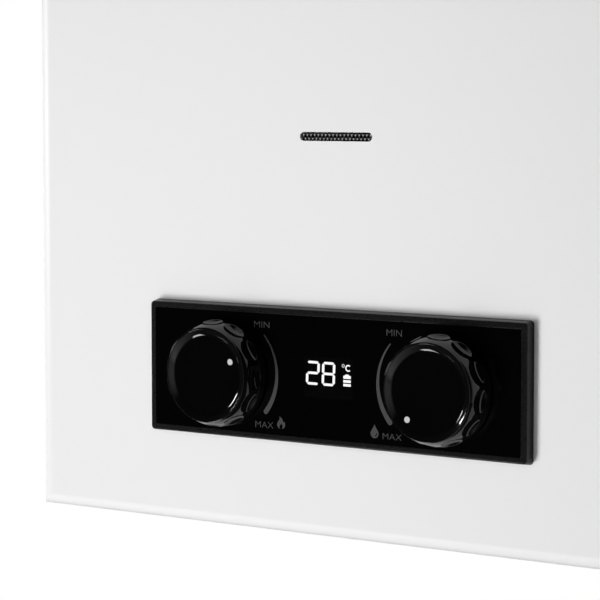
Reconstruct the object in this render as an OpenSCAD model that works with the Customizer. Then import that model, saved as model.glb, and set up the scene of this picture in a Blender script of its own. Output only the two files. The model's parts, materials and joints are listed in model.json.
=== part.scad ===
// Wall-hung instantaneous gas water heater, in millimetres.
// The front faces -Y, the wall is the plane y = 0 and +Z is up.
// The origin lies midway between the two upper keyholes, on the wall plane.

/* [Cover] */
// Width of the cover
cover_w = 300; // [286:1:340]
// Height of the cover
cover_h = 400; // [390:1:450]
// Depth from the wall to the front of the cover
cover_d = 118; // [115:1:140]
// Thickness of the cover sheet
sheet = 0.8; // [0.6:0.1:1.2]
// Thickness of the back plate, bottom plate and other folded sheet
plate = 1.2; // [1:0.1:1.6]
// Radius of the upright front edges
edge_r = 8; // [5:0.5:12]
// Radius of the front edge along the top and the bottom
rim_r = 5; // [3:0.5:7]
// Width of the flange turned in under the cover
flange_w = 10; // [8:1:12]
// Height of the bottom plate above the lower edge of the cover
floor_z = 22; // [18:1:24]

/* [Viewing slot] */
// Length of the slot
slot_len = 33; // [20:1:44]
// Height of the slot
slot_h = 3.4; // [2:0.2:6]
// Height of the slot above the bottom of the cover
slot_z = 155; // [150:1:165]

/* [Control panel] */
// Width of the bezel where it meets the cover
panel_w = 173.5; // [165:0.5:185]
// Height of the bezel where it meets the cover
panel_h = 53; // [50:0.5:60]
// Height of the panel's middle above the bottom of the cover
panel_z = 62.8; // [58:0.2:66]
// How far the bezel stands out of the cover
bezel_h = 4.4; // [3.6:0.2:6]
// How far the bezel's sides lean in
bezel_draft = 0.6; // [0.4:0.1:1.5]
// Width of the bevel round the front of the bezel
bezel_bevel = 0.4; // [0.3:0.1:1]
// Width of the bezel's front lip
lip_w = 2; // [1:0.1:3]
// Thickness of the fascia
fascia_t = 2; // [1.5:0.1:2.5]
// How deep the fascia lies behind the lip
fascia_drop = 0.3; // [0.1:0.1:0.6]

/* [Knobs] */
// Distance of each knob's axis from the middle of the panel
knob_x = 50.5; // [46:0.5:54]
// Distance of the knobs' axes below the middle of the panel
knob_drop = 0.8; // [0:0.1:1.5]
// Radius of a knob at its base
knob_base_r = 21.2; // [20:0.1:22]
// Radius of a knob at its rim
knob_rim_r = 18.7; // [18:0.1:19.5]
// Height of a knob
knob_h = 11.4; // [10:0.2:14]
// Number of finger scallops round a knob
scallop_n = 12; // [9:1:13]
// Depth of a scallop
scallop_depth = 1.2; // [0.8:0.1:1.4]
// Turn of the gas knob's dot from the right, anticlockwise
gas_turn = 28.5; // [-55:0.5:55]
// Turn of the water knob's dot from the right, anticlockwise
water_turn = 231; // [125:0.5:235]
// Radius of a valve spindle
spindle_r = 4; // [3:0.25:5]

/* [Top] */
// Height of the rain cap
cap_h = 24; // [20:1:32]
// Distance of the flue opening from each side of the cover
flue_side = 62; // [58:1:70]
// Depth of the rain cap
cap_d = 64; // [60:1:66]
// Radius of the carry handle's rod
rod_r = 4; // [3:0.25:5]
// Radius of the carry handle's grip
grip_r = 9; // [8:0.5:10]
// Length of the grip
grip_l = 112; // [90:1:130]
// Reach of the carry handle from its pivots
handle_reach = 86; // [82:1:88]
// Distance of the handle's rod from the side of the cover
handle_inset = 22; // [20:1:24]

/* [Wall fixing] */
// Height of the keyholes above the bottom of the cover
hang_z = 360; // [345:1:365]
// Distance between the two keyholes, and between the two lower holes
hang_pitch = 120; // [100:1:140]
// Radius of a keyhole where a screw head passes
key_r = 5; // [4.5:0.25:6]
// Width of a keyhole's slot
key_slot = 5; // [4:0.25:5.5]
// Height of the lower wall screws above the bottom of the cover
low_z = 90; // [80:1:95]
// Radius of a lower screw hole
low_r = 3; // [2.5:0.25:4]

/* [Burner and heat exchanger] */
// Gap between the wall and the combustion chamber
chamber_gap = 8; // [7:1:10]
// Width of the chamber
chamber_w = 172; // [168:1:180]
// Depth of the chamber
chamber_d = 80; // [78:1:82]
// Height of the copper shell
shell_h = 188; // [180:1:195]
// Height of the burner frame
burner_h = 42; // [40:1:44]
// Number of burner bars
bar_n = 7; // [5:1:7]
// Radius of the exchanger's tube and of the pipes
pipe_r = 6; // [5:0.25:6.5]
// Wall of the exchanger's tube and of the pipes
pipe_wall = 1; // [0.6:0.1:2]
// Distance between the exchanger's tubes
tube_pitch = 14; // [13.5:0.1:14.2]
// Number of fins
fin_n = 26; // [12:1:30]
// Thickness of a fin
fin_t = 0.6; // [0.4:0.1:1]

/* [Connections] */
// Outer radius of the water connections' thread
water_r = 10.48; // [8:0.01:12]
// Outer radius of the gas connection's thread
gas_r = 8.33; // [6:0.01:10.5]
// Bore radius of the water connections
water_bore = 7; // [5:0.25:7.5]
// Bore radius of the gas connection
gas_bore = 5; // [3:0.25:6]
// Length of a connection's thread
thread_l = 20; // [14:1:24]

/* [Battery] */
// Radius of a battery cell
cell_r = 17.1; // [16:0.1:17.3]
// Length of a battery cell
cell_l = 61.5; // [55:0.5:62]
// Wall of the battery box
box_wall = 1.8; // [1.5:0.1:2]
// Thickness of the battery lid
lid_t = 2.4; // [2:0.1:3]

/* [Fits] */
// Clearance between pieces that stand next to each other
fit = 0.3; // [0.2:0.05:0.4]
// Radial clearance of a shaft in its hole
run = 0.05; // [0.03:0.01:0.08]

/* [Hidden] */
$fn = 64;
over = 1;

// Front, sides and floor of the cover
front = -cover_d;
inside = front + sheet;
side_in = cover_w / 2 - sheet - fit;
floor_top = floor_z + plate;

// Panel, measured outwards from the cover's front
window_lap = 10;
window_w = panel_w - 2 * window_lap;
window_h = panel_h - 2 * window_lap;
panel_corner = 1.6;
bevel_h = bezel_h - bezel_bevel;
lip_w_out = panel_w - 2 * (bezel_draft + bezel_bevel);
lip_h_out = panel_h - 2 * (bezel_draft + bezel_bevel);
fascia_w = lip_w_out - 2 * lip_w;
fascia_h = lip_h_out - 2 * lip_w;
fascia_front = bezel_h - fascia_drop;
fascia_back = fascia_front - fascia_t;
skirt_d = 8;
skirt_t = 2;

// Knob: a domed side between a short upright skirt and a round rim
knob_z = panel_z - knob_drop;
knob_gap = 0.5;
knob_seat = fascia_front + knob_gap;
knob_skirt = 1.6;
ring_r = 1.2;
dome_h = knob_h - ring_r - knob_skirt;
dome_in = knob_base_r - knob_rim_r;
dome_r = (dome_h * dome_h + dome_in * dome_in) / (2 * dome_in);
cap_disc_r = knob_rim_r - 2 * ring_r - run;
cap_disc_t = 1.4;
face_drop = 0.6;
hub_r = spindle_r + 3.5;
hub_depth = 7.5;
knob_wall = 2.2;
flat_cut = spindle_r * 0.7;
scallop_lift = 0.47 * dome_h;
scallop_tilt = asin(scallop_lift / dome_r);
scallop_long = 14;
scallop_short = 6;
// Turn of the scallops from the knob's pointer
scallop_turn = 2;

// Burner, chamber and exchanger
chamber_back = -chamber_gap;
chamber_front = chamber_back - chamber_d;
burner_top = slot_z - 9;
burner_bottom = burner_top - burner_h;
shell_top = burner_top + shell_h;
tube_z = shell_top - 22;
tube_n = 5;
tube_edge = 10;
tube_back = chamber_back - tube_edge;
pipe_y = tube_back - (tube_n - 1) * tube_pitch;
pipe_bend = 14;
tube_end = chamber_w / 2 + 8;
pipe_x = tube_end + 20;
bar_pitch = 22;
bar_w = 9;
bar_wall = 1;
nozzle_z = burner_bottom + 8;
nozzle_l = 3;
nozzle_r = 3;
jet_r = 0.5;
mouth_r = 5;
manifold_s = 14;
manifold_bore = 4;
manifold_end = 3;
manifold_corner = 2;
manifold_y = chamber_front - nozzle_l - manifold_s / 2;
fin_h = 34;
fin_gap = 2;

// Valves behind the knobs
valve_front = front + 14;
valve_r = 16;
valve_back = pipe_y + valve_r;
boss_bottom = knob_z - 28;
link_gas = -22;
link_flange_r = 20;
link_flange_t = 4;
link_r = 2;
link_arm_r = 10;
link_depth = 14;
disc_r = 26;
disc_in = 22.8;
disc_t = 7.2;
disc_arm_r = 12;
rubber_t = 1.6;
rubber_in = 1;
disc_cover_t = 9.2;
disc_rim_t = 4;
disc_hub_r = 17;
disc_cover_x = disc_in - rubber_t - disc_cover_t;
screw_circle = 22;
disc_head_t = 2.4;
disc_head_r = 3.6;
outlet_x = knob_x + 33.5;
relief_x = outlet_x - 9;
relief_boss = 9;
relief_boss_r = 7;
outlet_wall = 3;
screw_end = 1;
rod_travel = 4;
gland_l = 5;
gland_af = 18;
spindle_depth = 14;
hex_t = 7;
water_hex = 30;
gas_hex = 24;
collar_l = 5;
collar_w = 2.5;
solenoid_l = 30;
solenoid_r = 9;
solenoid_x = -knob_x + 7;

// Flue and rain cap
cap_back = -12;
flue_y = cap_back - cap_d / 2;
grille_lap = 8;
flue_w = cover_w - 2 * flue_side;
flue_d = cap_d - 2 * grille_lap;
cap_over = 12;
cap_w = flue_w + 2 * cap_over;
cap_corner = 6;
cap_lip = 7;
foot_w = 12;

// Carry handle
handle_x = cover_w / 2 - handle_inset;
pivot_y = -18;
pivot_z = cover_h + grip_r + fit;
pin_r = 3;
eye_r = 6.5;
ear_t = 2;
bracket_half = 9;
pin_head = 1.2;
eye_half = rod_r + 0.6;
ear_gap = eye_half + fit;
handle_bend = 16;
grip_groove = 1.2;
grip_waves = 5;

// Battery box, hung in an opening of the bottom plate
cell_gap = 0.6;
bay_w = 4 * cell_r + 3 * cell_gap;
bay_d = 2 * cell_r + 2 * cell_gap;
box_w = bay_w + 2 * box_wall;
box_d = bay_d + 2 * box_wall;
box_lap = 3.5;
box_flange = 2;
box_off = 40.5;
box_x = -knob_x - box_off;
box_y = -(6.5 + box_d / 2);
lid_top = floor_z - box_flange - fit;
pad_h = 4;
cell_bottom = lid_top + pad_h + fit / 2;
nub_h = 1.5;
nub_r = 4.75;
contact_h = 1.6;
contact_t = 0.6;
contact_size = [22, 16];
bay_top = cell_bottom + cell_l + nub_h + fit / 2 + contact_h + contact_t;
lid_ear = 2.5;
lid_pin = 1;
ear_round = 3;
lid_w = box_w - 2 * (lid_ear + fit);
hinge_y = box_y + box_d / 2 - 1;
hinge_z = lid_top - lid_t / 2;
lid_front = box_y - box_d / 2 - box_lap;

// Sets the whole heater so that the upper keyholes' middle is the origin
module hung() {
    translate([0, 0, -hang_z]) children();
}

// Draws in the upright plane at depth y, with the extrusion coming out to the front
module at_front(x, z, y = front) {
    translate([x, y, z]) rotate([90, 0, 0]) children();
}

// Draws in the plane across the heater, with the extrusion running to the right
module across(x, y = 0, z = 0) {
    translate([x, y, z]) rotate([90, 0, 90]) children();
}

module rod_x(x0, x1, y, z, r) {
    translate([x0, y, z]) rotate([0, 90, 0]) cylinder(r = r, h = x1 - x0);
}

module rod_y(y0, y1, x, z, r) {
    translate([x, y1, z]) rotate([90, 0, 0]) cylinder(r = r, h = y1 - y0);
}

module rod_z(z0, z1, x, y, r) {
    translate([x, y, z0]) cylinder(r = r, h = z1 - z0);
}

// Box from its lowest to its highest corner
module block(low, high) {
    translate(low) cube(high - low);
}

module rounded_rect(w, h, r) {
    square([w - 2 * r, h], center = true);
    square([w, h - 2 * r], center = true);
    for (sx = [-1, 1], sy = [-1, 1])
        translate([sx * (w / 2 - r), sy * (h / 2 - r)]) circle(r = r);
}

module stadium(len, h) {
    square([len - h, h], center = true);
    for (s = [-1, 1])
        translate([s * (len - h) / 2, 0]) circle(d = h);
}

// Rectangle behind the line y = -d, with its two corners on that line rounded
module front_rounded(w, d, r) {
    translate([-w / 2, -d + r]) square([w, d - r]);
    translate([-w / 2 + r, -d]) square([w - 2 * r, d]);
    for (s = [-1, 1])
        translate([s * (w / 2 - r), -d + r]) circle(r = r);
}

// Right-handed frame whose third axis is the direction d
function frame_of(p, d) =
    let (n = abs(d.z) > 0.9 ? [1, 0, 0] : [0, 0, 1],
         u = cross(n, d),
         v = cross(d, u))
    [[u.x, v.x, d.x, p.x], [u.y, v.y, d.y, p.y], [u.z, v.z, d.z, p.z], [0, 0, 0, 1]];

// Frame of a bend that turns from direction a to direction b about its centre p
function bend_of(p, a, b) =
    let (c = cross(a, b))
    [[-b.x, a.x, c.x, p.x], [-b.y, a.y, c.y, p.y], [-b.z, a.z, c.z, p.z], [0, 0, 0, 1]];

function heading(route, i) = (route[i + 1] - route[i]) / norm(route[i + 1] - route[i]);

// Round rod along a route of square corners, each rounded to the given bend
module pipe(route, r, bend) {
    last = len(route) - 2;
    for (i = [0 : last]) {
        way = heading(route, i);
        skip_a = i == 0 ? 0 : bend;
        skip_b = i == last ? 0 : bend;
        run_l = norm(route[i + 1] - route[i]) - skip_a - skip_b;
        if (run_l > 0.01)
            multmatrix(frame_of(route[i] + way * skip_a, way)) cylinder(r = r, h = run_l);
    }
    for (i = [1 : 1 : last]) {
        a = heading(route, i - 1);
        b = heading(route, i);
        multmatrix(bend_of(route[i] - a * bend + b * bend, a, b))
            rotate_extrude(angle = 90) translate([bend, 0]) circle(r = r, $fn = 32);
    }
}

function stretched(route) = [
    for (i = [0 : len(route) - 1])
        i == 0 ? route[0] - heading(route, 0) * over
        : i == len(route) - 1 ? route[i] + heading(route, i - 1) * over
        : route[i]];

// The same rod, bored through from end to end
module hollow_pipe(route, bend) {
    difference() {
        pipe(route, pipe_r, bend);
        pipe(stretched(route), pipe_r - pipe_wall, bend);
    }
}

module hexagon(af) {
    circle(d = af / cos(30), $fn = 6);
}

// Cover

module cover_form(inset, open = 0) {
    w = cover_w - 2 * inset;
    d = cover_d - inset;
    h = cover_h - 2 * inset;
    r = rim_r - inset;
    intersection() {
        translate([0, 0, inset]) linear_extrude(h) {
            front_rounded(w, d, edge_r - inset);
            translate([-w / 2, -over]) square([w, over + open]);
        }
        across(-cover_w / 2) linear_extrude(cover_w) {
            translate([-d + r, inset]) square([d - r + open, h]);
            translate([-d, inset + r]) square([2 * r, h - 2 * r]);
            for (z = [inset + r, inset + h - r])
                translate([-d + r, z]) circle(r = r);
        }
    }
}

side_screw_y = -8;
side_screw_r = 2;
side_screw_l = 6;
side_head_t = 1.8;
side_screw_z = [bay_top + 20, cover_h - 60];

module front_cover() color("whitesmoke") difference() {
    cover_form(0);
    cover_form(sheet, over);
    block([-cover_w / 2 + flange_w, front + rim_r + flange_w, -over],
          [cover_w / 2 - flange_w, over, sheet + over]);
    at_front(0, panel_z, inside + over) linear_extrude(sheet + 2 * over)
        square([window_w, window_h], center = true);
    at_front(0, slot_z, inside + over) linear_extrude(sheet + 2 * over) stadium(slot_len, slot_h);
    block([-flue_w / 2, flue_y - flue_d / 2, cover_h - sheet - over],
          [flue_w / 2, flue_y + flue_d / 2, cover_h + over]);
    for (z = side_screw_z)
        rod_x(-cover_w / 2 - over, cover_w / 2 + over, side_screw_y, z, side_screw_r + run);
}

module keyhole() {
    rise = 2.4 * key_r;
    circle(r = key_r);
    translate([-key_slot / 2, 0]) square([key_slot, rise]);
    translate([0, rise]) circle(d = key_slot);
}

back_flange = 14;
vent_w = 5;
vent_l = 36;
back_vents = 9;
back_vent_z = low_z + 80;

module back_plate() color("silver") difference() {
    translate([0, 0, sheet]) linear_extrude(cover_h - 2 * sheet - fit) {
        translate([-side_in, -plate]) square([2 * side_in, plate]);
        for (s = [-1, 1])
            translate([s * (side_in - plate / 2) - plate / 2, -back_flange]) square([plate, back_flange]);
    }
    for (s = [-1, 1]) {
        at_front(s * hang_pitch / 2, hang_z, over) linear_extrude(plate + 2 * over) keyhole();
        rod_y(-plate - over, over, s * hang_pitch / 2, low_z, low_r);
    }
    for (i = [0 : back_vents - 1])
        at_front((i - (back_vents - 1) / 2) * 4 * vent_w, back_vent_z, over)
            linear_extrude(plate + 2 * over) rotate(90) stadium(vent_l, vent_w);
    for (z = side_screw_z)
        rod_x(-cover_w / 2, cover_w / 2, side_screw_y, z, side_screw_r + run);
}

air_slots = 11;
air_slot_x = -34;
air_slot_pitch = 15;
air_slot_y = -30;

module bottom_plate() color("silver") difference() {
    translate([0, -plate, floor_z]) linear_extrude(plate)
        front_rounded(2 * (side_in - plate - fit), cover_d - sheet - plate - fit, edge_r);
    for (c = [[-pipe_x, water_r], [-knob_x, gas_r], [knob_x, water_r], [relief_x, relief_stem]])
        rod_z(floor_z - over, floor_top + over, c[0], pipe_y, c[1] + fit);
    block([box_x - box_w / 2 - fit, box_y - box_d / 2 - fit, floor_z - over],
          [box_x + box_w / 2 + fit, box_y + box_d / 2 + fit, floor_top + over]);
    for (i = [0 : air_slots - 1])
        translate([air_slot_x + i * air_slot_pitch, air_slot_y, floor_z - over]) rotate(90)
            linear_extrude(plate + 2 * over) stadium(vent_l, vent_w);
}

module cover_screws() color("silver")
    for (s = [-1, 1], z = side_screw_z) {
        head = s * cover_w / 2;
        top = head + s * side_head_t;
        tip = head - s * side_screw_l;
        rod_x(min(head, top), max(head, top), side_screw_y, z, 2 * side_screw_r);
        rod_x(min(head, tip), max(head, tip), side_screw_y, z, side_screw_r);
    }

// Top

module cap_outline(inset) {
    mirror([0, 1]) front_rounded(cap_w - 2 * inset, cap_h - inset, cap_corner - inset);
}

module rain_cap() color("whitesmoke") {
    translate([0, 0, cover_h]) difference() {
        at_front(0, 0, cap_back) linear_extrude(cap_d) cap_outline(0);
        at_front(0, 0, cap_back - plate) linear_extrude(cap_d - 2 * plate) cap_outline(plate);
        at_front(0, -over, cap_back + over) linear_extrude(cap_d + 2 * over)
            translate([-cap_w / 2 + plate, 0]) square([cap_w - 2 * plate, cap_h - cap_lip + over]);
    }
    for (s = [-1, 1])
        translate([s * (cap_w + foot_w) / 2, flue_y, cover_h]) linear_extrude(plate)
            difference() {
                square([foot_w, cap_d], center = true);
                for (t = [-1, 1]) translate([0, t * cap_d / 3]) circle(r = side_screw_r);
            }
}

grille_pitch = 9;
grille_bar = 4;

module exhaust_grille() color("dimgray") translate([0, flue_y, cover_h]) linear_extrude(plate)
    difference() {
        square([flue_w + 2 * grille_lap, flue_d + 2 * grille_lap - 2 * fit], center = true);
        n = floor((flue_w - grille_bar) / grille_pitch);
        for (i = [0 : n - 1])
            translate([(i - (n - 1) / 2) * grille_pitch, 0])
                square([grille_pitch - grille_bar, flue_d - 2 * grille_bar], center = true);
    }

module hood_form(inset, extra) {
    neck = 8;
    hull() {
        block([-chamber_w / 2 + inset, chamber_front + inset, shell_top - extra],
              [chamber_w / 2 - inset, chamber_back - inset, shell_top + neck]);
        block([-flue_w / 2 + fit + inset, flue_y - flue_d / 2 + fit + inset, cover_h - neck],
              [flue_w / 2 - fit - inset, flue_y + flue_d / 2 - fit - inset, cover_h + extra]);
    }
}

module flue_hood() color("silver") difference() {
    hood_form(0, 0);
    hood_form(sheet, over);
}

module handle_brackets() color("gray")
    for (s = [-1, 1]) translate([s * handle_x, pivot_y, 0]) {
        base_w = 2 * (ear_gap + ear_t);
        block([-base_w / 2, -bracket_half, cover_h], [base_w / 2, bracket_half, cover_h + ear_t]);
        for (t = [-1, 1]) difference() {
            x = t * (ear_gap + ear_t / 2) - ear_t / 2;
            union() {
                block([x, -eye_r, cover_h + ear_t], [x + ear_t, eye_r, pivot_z]);
                rod_x(x, x + ear_t, 0, pivot_z, eye_r);
            }
            rod_x(x - over, x + ear_t + over, 0, pivot_z, pin_r + run);
        }
    }

module handle_pins() color("silver")
    for (s = [-1, 1]) {
        half = ear_gap + ear_t;
        x = s * handle_x;
        rod_x(x - half, x + half, pivot_y, pivot_z, pin_r);
        for (t = [-1, 1])
            rod_x(x + t * (half + pin_head / 2) - pin_head / 2, x + t * (half + pin_head / 2) + pin_head / 2,
                  pivot_y, pivot_z, 1.5 * pin_r);
    }

module carry_handle() color("silver") difference() {
    bar_y = pivot_y - handle_reach;
    union() {
        pipe([[-handle_x, pivot_y, pivot_z], [-handle_x, bar_y, pivot_z], [handle_x, bar_y, pivot_z],
              [handle_x, pivot_y, pivot_z]], rod_r, handle_bend);
        for (s = [-1, 1])
            rod_x(s * handle_x - eye_half, s * handle_x + eye_half, pivot_y, pivot_z, eye_r);
    }
    for (s = [-1, 1])
        rod_x(s * handle_x - 2 * rod_r, s * handle_x + 2 * rod_r, pivot_y, pivot_z, pin_r + run);
}

module handle_grip() color("dimgray") translate([0, pivot_y - handle_reach, pivot_z])
    rotate([0, 90, 0]) rotate_extrude() difference() {
        union() {
            wave = grip_l / grip_waves;
            swell = grip_l / 8;
            translate([0, -grip_l / 2]) square([grip_r - grip_groove, grip_l]);
            for (i = [0 : grip_waves - 1])
                translate([0, (i - (grip_waves - 1) / 2) * wave]) intersection() {
                    translate([0, -wave / 2]) square([grip_r, wave]);
                    translate([grip_r - swell, 0]) circle(r = swell);
                }
        }
        translate([-over, -grip_l]) square([rod_r + run + over, 2 * grip_l]);
    }

// Control panel

mesh_rows = 3;
mesh_pitch = 1.7;
mesh_hole = 0.55;
mesh_t = 0.8;
mesh_lap = 6;
mesh_corner = 2;

module flame_mesh() color("black") at_front(0, slot_z, inside + mesh_t) linear_extrude(mesh_t)
    difference() {
        rounded_rect(slot_len + 2 * mesh_lap, slot_h + 2 * mesh_lap, mesh_corner);
        n = floor(slot_len / mesh_pitch);
        for (i = [0 : n - 1], j = [0 : mesh_rows - 1])
            translate([(i - (n - 1) / 2 + (j % 2) / 2) * mesh_pitch,
                       (j - (mesh_rows - 1) / 2) * mesh_pitch * sin(60)])
                circle(r = mesh_hole, $fn = 16);
    }

slice = 0.01;

// Thin slice of the bezel's outline at height z, for the hulls between two heights
module bezel_layer(z, inset, r) {
    translate([0, 0, z]) linear_extrude(slice) offset(r = r)
        square([panel_w - 2 * (inset + r), panel_h - 2 * (inset + r)], center = true);
}

module panel_bezel() color("#1c1c1c") at_front(0, panel_z) {
    difference() {
        union() {
            hull() {
                bezel_layer(0, 0, panel_corner);
                bezel_layer(bevel_h, bezel_draft, panel_corner);
            }
            hull() {
                bezel_layer(bevel_h, bezel_draft, panel_corner);
                bezel_layer(bezel_h - slice, bezel_draft + bezel_bevel, panel_corner / 2);
            }
        }
        translate([0, 0, fascia_back]) linear_extrude(bezel_h)
            square([fascia_w + 2 * run, fascia_h + 2 * run], center = true);
        translate([0, 0, -over]) linear_extrude(bezel_h + 2 * over)
            square([window_w - 2 * (fit + skirt_t), window_h - 2 * (fit + skirt_t)], center = true);
    }
    translate([0, 0, -skirt_d]) linear_extrude(skirt_d) difference() {
        square([window_w - 2 * fit, window_h - 2 * fit], center = true);
        square([window_w - 2 * (fit + skirt_t), window_h - 2 * (fit + skirt_t)], center = true);
    }
}

spindle_hole = spindle_r + 2;

module fascia() color("#0a0a0a") at_front(0, panel_z) translate([0, 0, fascia_back])
    linear_extrude(fascia_t) difference() {
        square([fascia_w, fascia_h], center = true);
        for (s = [-1, 1]) translate([s * knob_x, -knob_drop]) circle(r = spindle_hole);
    }

display_w = 26;
display_h = 19;
board_w = 44;
board_h = 27;
board_t = 1.6;
display_t = 6;

module display_module() color("darkgreen") at_front(0, panel_z) {
    translate([0, 0, fascia_back - display_t]) linear_extrude(display_t)
        square([display_w, display_h], center = true);
    translate([0, 0, fascia_back - display_t - board_t]) linear_extrude(board_t)
        square([board_w, board_h], center = true);
}

module knob_profile() {
    intersection() {
        square([knob_base_r, knob_h - ring_r]);
        union() {
            square([knob_base_r, knob_skirt]);
            translate([knob_base_r - dome_r, knob_skirt]) circle(r = dome_r, $fn = 128);
        }
    }
    translate([knob_rim_r - ring_r, knob_h - ring_r]) circle(r = ring_r);
}

// One finger scallop, cut by the outside of a ring that stands along the dome's slope
module scallop() {
    reach = scallop_long - scallop_depth + dome_r;
    translate([knob_base_r - dome_r + reach * cos(scallop_tilt), 0,
               knob_skirt + reach * sin(scallop_tilt)])
        rotate([0, -scallop_tilt, 0]) rotate_extrude()
            translate([scallop_long - scallop_short, 0]) circle(r = scallop_short);
}

// Knob body, seen from its base: scalloped dome, recess for the cap, hollow underside and hub
module knob_body() {
    disc_seat = knob_h - face_drop - cap_disc_t;
    difference() {
        rotate_extrude() difference() {
            knob_profile();
            translate([0, disc_seat]) square([cap_disc_r + run, knob_h]);
            translate([hub_r, -over])
                square([knob_rim_r - knob_wall - hub_r, disc_seat - knob_wall + over]);
        }
        for (i = [0 : scallop_n - 1])
            rotate(scallop_turn + i * 360 / scallop_n) scallop();
        translate([0, 0, -over]) intersection() {
            cylinder(r = spindle_r + run, h = hub_depth + over);
            translate([-2 * spindle_r, -2 * spindle_r, 0])
                cube([2 * spindle_r + flat_cut + run, 4 * spindle_r, hub_depth + over]);
        }
    }
}

module knob_cap() {
    edge = 0.4;
    translate([0, 0, knob_h - face_drop - cap_disc_t]) {
        cylinder(r = cap_disc_r, h = cap_disc_t - edge);
        translate([0, 0, cap_disc_t - edge]) cylinder(r1 = cap_disc_r, r2 = cap_disc_r - edge, h = edge);
    }
}

module at_knob(x, turn) {
    at_front(x, knob_z) translate([0, 0, knob_seat]) rotate(turn) children();
}

module gas_knob() color("#111111") at_knob(-knob_x, gas_turn) knob_body();
module gas_knob_cap() color("#0a0a0a") at_knob(-knob_x, gas_turn) knob_cap();
module water_knob() color("#111111") at_knob(knob_x, water_turn) knob_body();
module water_knob_cap() color("#0a0a0a") at_knob(knob_x, water_turn) knob_cap();

// Valve spindle with the flat that drives the knob
module spindle() {
    back = -knob_seat - (valve_front - front) - spindle_depth;
    difference() {
        translate([0, 0, back]) cylinder(r = spindle_r, h = hub_depth - fit - back);
        translate([flat_cut, -2 * spindle_r, 0]) cube([spindle_r, 4 * spindle_r, hub_depth + over]);
    }
}

module gas_spindle() color("silver") at_knob(-knob_x, gas_turn) spindle();
module water_spindle() color("silver") at_knob(knob_x, water_turn) spindle();

// Gas side

// Threaded connection below the bottom plate, with a hexagon against the plate
module connection(x, top, r, bore, af) {
    translate([x, pipe_y, 0]) difference() {
        union() {
            rod_z(floor_z - hex_t - thread_l, top, 0, 0, r);
            translate([0, 0, floor_z - hex_t]) linear_extrude(hex_t) rotate(30) hexagon(af);
            rod_z(top - collar_l, top, 0, 0, r + collar_w);
        }
        rod_z(floor_z - hex_t - thread_l - over, top + over, 0, 0, bore);
    }
}

module gas_inlet() color("goldenrod") connection(-knob_x, boss_bottom, gas_r, gas_bore, gas_hex);

// Round valve body along a spindle, with its packing gland at the front
module valve_core(x) {
    rod_y(valve_front, valve_back, x, knob_z, valve_r);
    at_front(x, knob_z, valve_front) linear_extrude(gland_l) hexagon(gland_af);
}

module spindle_bore(x) {
    rod_y(valve_front - gland_l - over, valve_front + spindle_depth + fit, x, knob_z, spindle_r + run);
}

leg_r = 7;
leg_top = knob_z + valve_r + 6;

module gas_valve_body() color("lightgray") difference() {
    union() {
        valve_core(-knob_x);
        rod_z(boss_bottom, knob_z, -knob_x, pipe_y, gas_r + collar_w);
        rod_z(knob_z, leg_top, -knob_x, manifold_y, leg_r);
        rod_x(-knob_x, link_gas, pipe_y, knob_z, link_arm_r);
        rod_x(link_gas - link_flange_t, link_gas, pipe_y, knob_z, link_flange_r);
    }
    spindle_bore(-knob_x);
    rod_x(link_gas - link_depth, link_gas + over, pipe_y, knob_z, link_r + run);
    rod_z(boss_bottom - over, knob_z - valve_r, -knob_x, pipe_y, gas_bore);
}

yoke_w = 12;
yoke_h = 22;
yoke_t = 2;

// Coil between the two end plates of its yoke
module gas_solenoid() color("firebrick") {
    rod_y(valve_back, valve_back + solenoid_l, solenoid_x, knob_z, solenoid_r);
    for (y = [valve_back, valve_back + solenoid_l - yoke_t])
        block([solenoid_x - yoke_w / 2, y, knob_z - yoke_h / 2],
              [solenoid_x + yoke_w / 2, y + yoke_t, knob_z + yoke_h / 2]);
}

manifold_l = bar_pitch * (bar_n - 1) + 3 * manifold_s / 2;

module gas_manifold() color("lightgray") difference() {
    union() {
        across(-manifold_l / 2, manifold_y, nozzle_z) linear_extrude(manifold_l)
            rounded_rect(manifold_s, manifold_s, manifold_corner);
        rod_z(leg_top, nozzle_z, -knob_x, manifold_y, leg_r);
    }
    rod_x(-manifold_l / 2 + manifold_end, manifold_l / 2 - manifold_end, manifold_y, nozzle_z, manifold_bore);
}

function bar_x(i) = (i - (bar_n - 1) / 2) * bar_pitch;

module gas_nozzles() color("goldenrod")
    for (i = [0 : bar_n - 1]) difference() {
        rod_y(manifold_y + manifold_s / 2, chamber_front - fit, bar_x(i), nozzle_z, nozzle_r);
        rod_y(manifold_y, chamber_front, bar_x(i), nozzle_z, jet_r);
    }

burner_foot_w = 16;
burner_foot_h = 12;

module burner_frame() color("silver") {
    difference() {
        block([-chamber_w / 2, chamber_front, burner_bottom], [chamber_w / 2, chamber_back, burner_top]);
        block([-chamber_w / 2 + plate, chamber_front + plate, burner_bottom - over],
              [chamber_w / 2 - plate, chamber_back - plate, burner_top + over]);
        for (i = [0 : bar_n - 1])
            rod_y(chamber_front - over, chamber_front + plate + over, bar_x(i), nozzle_z, mouth_r);
    }
    for (s = [-1, 1])
        block([s * chamber_w / 3 - burner_foot_w / 2, chamber_back, burner_bottom],
              [s * chamber_w / 3 + burner_foot_w / 2, -plate, burner_bottom + burner_foot_h]);
}

port_pitch = 6;
port_w = 1.5;
port_depth = 4;
port_edge = 3;
bar_drop = 4;

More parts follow.
